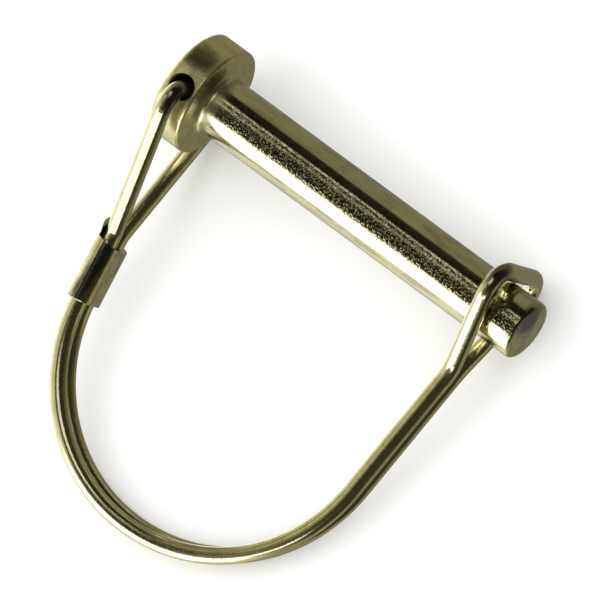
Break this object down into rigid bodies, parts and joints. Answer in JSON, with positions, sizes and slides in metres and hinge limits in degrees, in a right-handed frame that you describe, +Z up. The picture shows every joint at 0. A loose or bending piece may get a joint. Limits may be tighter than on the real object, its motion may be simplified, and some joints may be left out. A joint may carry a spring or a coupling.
{
  "type": "lynch pin",
  "caption": "Plated steel pin with a disc head and a hinged spring wire bail whose loop snaps over the tip to lock it.",
  "frame": {"origin": "on the flat surface that the part lies on, under the middle of its bounding box", "axes": "+Z up from the surface, +X along the pin from the head to the tip as seen from above, and -Y from the pin towards the arch of the bail. The pin itself dips 3 degrees towards its tip, and the bail 8 degrees towards its arch, because the part lies on three places of the wire."},
  "size_m": [0.0564, 0.0576, 0.0196],
  "materials": {
    "plated_pin": "glossy yellow zinc plate",
    "plated_wire": "glossy yellow zinc plate",
    "plated_ferrule": "glossy yellow zinc plate"
  },
  "bodies": {
    "pin": {"pin": "plated_pin"},
    "bail": {"wire_bail": "plated_wire", "ferrule": "plated_ferrule"}
  },
  "joints": [
    {"name": "bail_hinge", "type": "hinge", "parent": "pin", "child": "bail", "pos_m": [-0.02531, 0.02128, 0.0101], "axis": [-0.051, 0.1306, -0.9901], "range_deg": [0, 245], "deforming": ["wire_bail"]}
  ]
}
